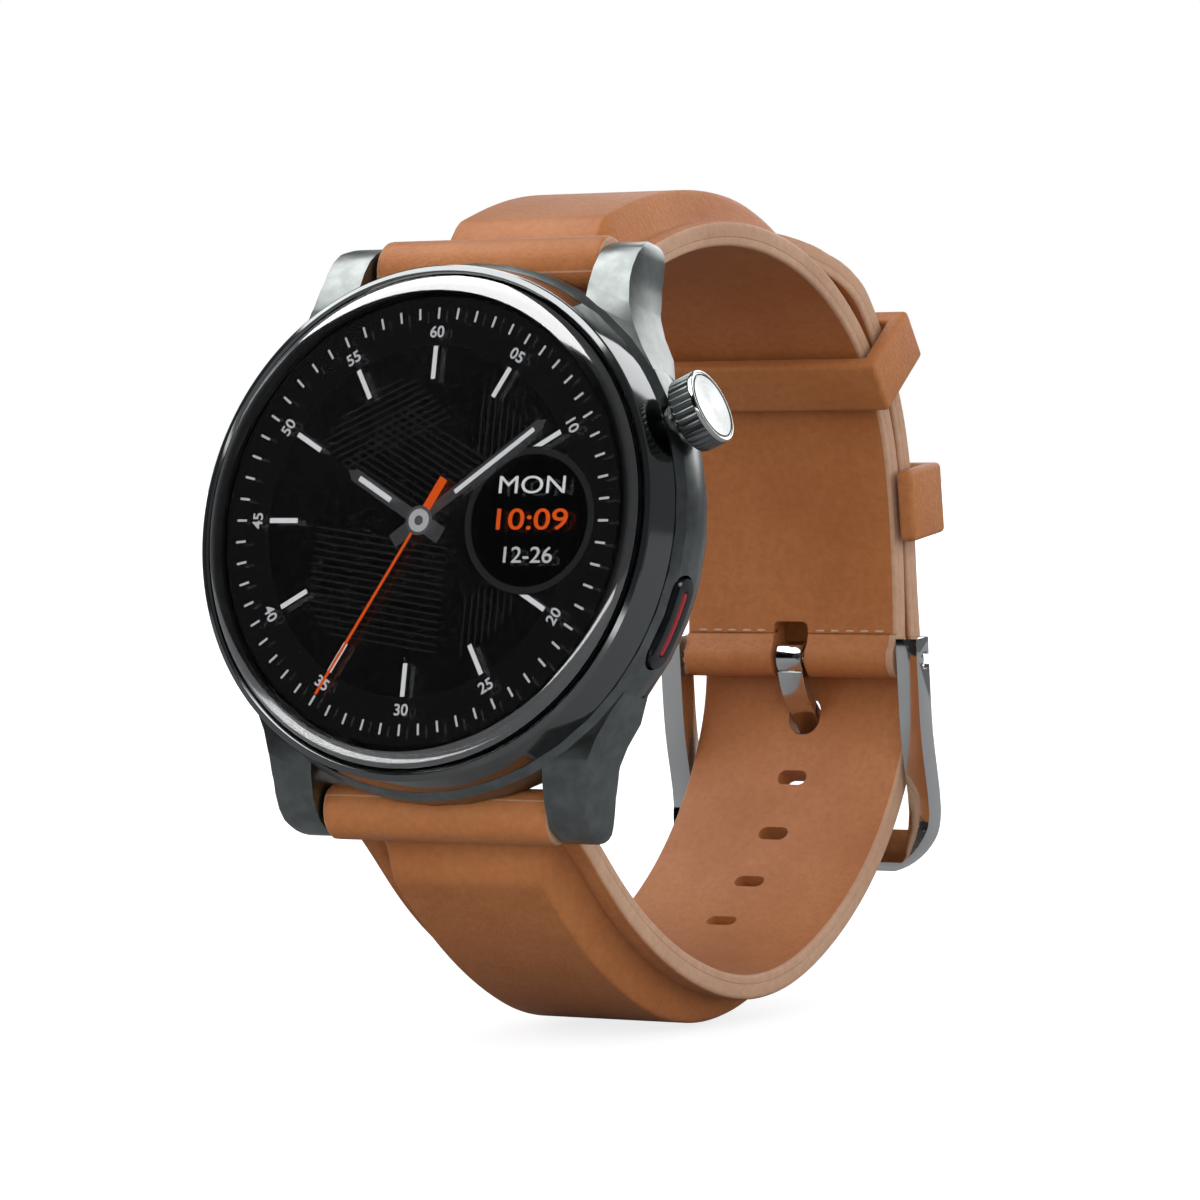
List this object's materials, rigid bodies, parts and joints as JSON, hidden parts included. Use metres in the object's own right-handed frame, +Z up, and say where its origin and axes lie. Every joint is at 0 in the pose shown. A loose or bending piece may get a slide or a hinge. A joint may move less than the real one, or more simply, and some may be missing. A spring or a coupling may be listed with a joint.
{
  "type": "smartwatch",
  "caption": "Round smartwatch with a knurled crown, a side button and a padded leather strap buckled into its wrist loop.",
  "frame": {"origin": "middle of the flat back of the sensor window, where the wearer's wrist holds the watch", "axes": "+X to the 3 o'clock side, along the shortest extent; +Y from the glass through the loop to the buckle; +Z up, with 12 o'clock leaned 12 degrees towards +Y"},
  "size_m": [0.0481, 0.077, 0.0732],
  "materials": {
    "case_metal": "satin gunmetal anodise",
    "bezel_metal": "polished dark metal",
    "polished_steel": "polished",
    "pin_steel": "turned",
    "cover_glass": "clear, black printed rim",
    "display": "lit display",
    "black_plastic": "moulded",
    "gloss_black": "gloss black",
    "seal_rubber": "matt",
    "circuit_board": "solder mask",
    "tin_plate": "tinned",
    "battery_foil": "foil pouch",
    "polyimide": "amber film",
    "contact_gold": "plated",
    "accent_red": "painted red",
    "emitter": "green emitter lens",
    "leather_tan": "fine pebbled grain, padded",
    "leather_lining": "smooth lining",
    "strap_padding": "fibre padding"
  },
  "bodies": {
    "case": {"cover_glass": "cover_glass", "glass_gasket": "seal_rubber", "bezel_ring": "bezel_metal", "display_panel": "display", "display_flex": "polyimide", "mid_case": "case_metal", "crown_tube": "case_metal", "crown_seal": "seal_rubber", "crown_switch": "black_plastic", "button_seal": "seal_rubber", "button_switch": "black_plastic", "inner_chassis": "black_plastic", "battery": "battery_foil", "main_board": "circuit_board", "processor_shield": "tin_plate", "motor_can": "tin_plate", "motor_base": "tin_plate", "back_seal": "seal_rubber", "back_cover": "black_plastic", "sensor_window": "gloss_black", "sensor_board": "circuit_board", "sensor_emitter": "emitter", "sensor_detector_1": "gloss_black", "sensor_detector_2": "gloss_black", "charge_contact_1": "contact_gold", "charge_contact_2": "contact_gold", "back_cover_screw_1": "pin_steel", "back_cover_screw_2": "pin_steel", "back_cover_screw_3": "pin_steel", "back_cover_screw_4": "pin_steel", "upper_bar_tube": "pin_steel", "upper_bar_fixed_pin": "pin_steel", "lower_bar_tube": "pin_steel", "lower_bar_fixed_pin": "pin_steel"},
    "crown_press": {"crown_plunger": "pin_steel"},
    "crown_turn": {"crown_knob": "case_metal", "crown_cap": "polished_steel", "crown_stem": "pin_steel"},
    "side_button": {"button_cap": "gloss_black", "button_accent": "accent_red", "button_stem": "pin_steel"},
    "rotor": {"motor_rotor": "pin_steel"},
    "upper_release": {"upper_bar_release_pin": "pin_steel"},
    "lower_release": {"lower_bar_release_pin": "pin_steel"},
    "strap_loop": {"upper_strap_leather": "leather_tan", "upper_strap_lining": "leather_lining", "upper_strap_padding": "strap_padding", "lower_strap_leather": "leather_tan", "lower_strap_lining": "leather_lining", "lower_strap_padding": "strap_padding", "fixed_keeper": "leather_tan"},
    "sliding_keeper": {"free_keeper": "leather_tan"},
    "buckle": {"buckle_frame": "polished_steel", "buckle_bar": "polished_steel"},
    "tongue": {"buckle_tongue": "polished_steel"}
  },
  "joints": [
    {"name": "crown_press_slide", "type": "slide", "parent": "case", "child": "crown_press", "axis": [-0.9135, -0.0846, -0.3978], "range_m": [0, 0.00045], "stiffness_N_per_m": 1200},
    {"name": "crown_turn_hinge", "type": "hinge", "parent": "crown_press", "child": "crown_turn", "pos_m": [0.02103, -0.00452, 0.01053], "axis": [0.9135, 0.0846, 0.3978], "continuous": true},
    {"name": "side_button_slide", "type": "slide", "parent": "case", "child": "side_button", "axis": [-0.9438, 0.0687, 0.3233], "range_m": [0, 0.0004], "stiffness_N_per_m": 1200},
    {"name": "motor_rotor_hinge", "type": "hinge", "parent": "case", "child": "rotor", "pos_m": [-0.0129, -0.00744, 0.00158], "axis": [0, 0.9781, -0.2079], "continuous": true},
    {"name": "upper_release_slide", "type": "slide", "parent": "case", "child": "upper_release", "axis": [-1, 0, 0], "range_m": [0, 0.0013], "stiffness_N_per_m": 800},
    {"name": "lower_release_slide", "type": "slide", "parent": "case", "child": "lower_release", "axis": [-1, 0, 0], "range_m": [0, 0.0013], "stiffness_N_per_m": 800},
    {"name": "strap_flex_hinge", "type": "hinge", "parent": "case", "child": "strap_loop", "pos_m": [0, -0.00549, 0.00117], "axis": [1, 0, 0], "range_deg": [-5, 5], "stiffness_Nm_per_rad": 1, "deforming": ["upper_strap_leather", "upper_strap_lining", "upper_strap_padding", "lower_strap_leather", "lower_strap_lining", "lower_strap_padding"]},
    {"name": "keeper_slide_hinge", "type": "hinge", "parent": "strap_loop", "child": "sliding_keeper", "pos_m": [0, 0.03247, 0.00201], "axis": [1, 0, 0], "range_deg": [-17, 5]},
    {"name": "buckle_frame_hinge", "type": "hinge", "parent": "strap_loop", "child": "buckle", "pos_m": [0, 0.05472, -0.01209], "axis": [1, 0, 0], "range_deg": [-6, 0]},
    {"name": "buckle_tongue_hinge", "type": "hinge", "parent": "strap_loop", "child": "tongue", "pos_m": [0, 0.05472, -0.01209], "axis": [1, 0, 0], "range_deg": [0, 2]}
  ]
}
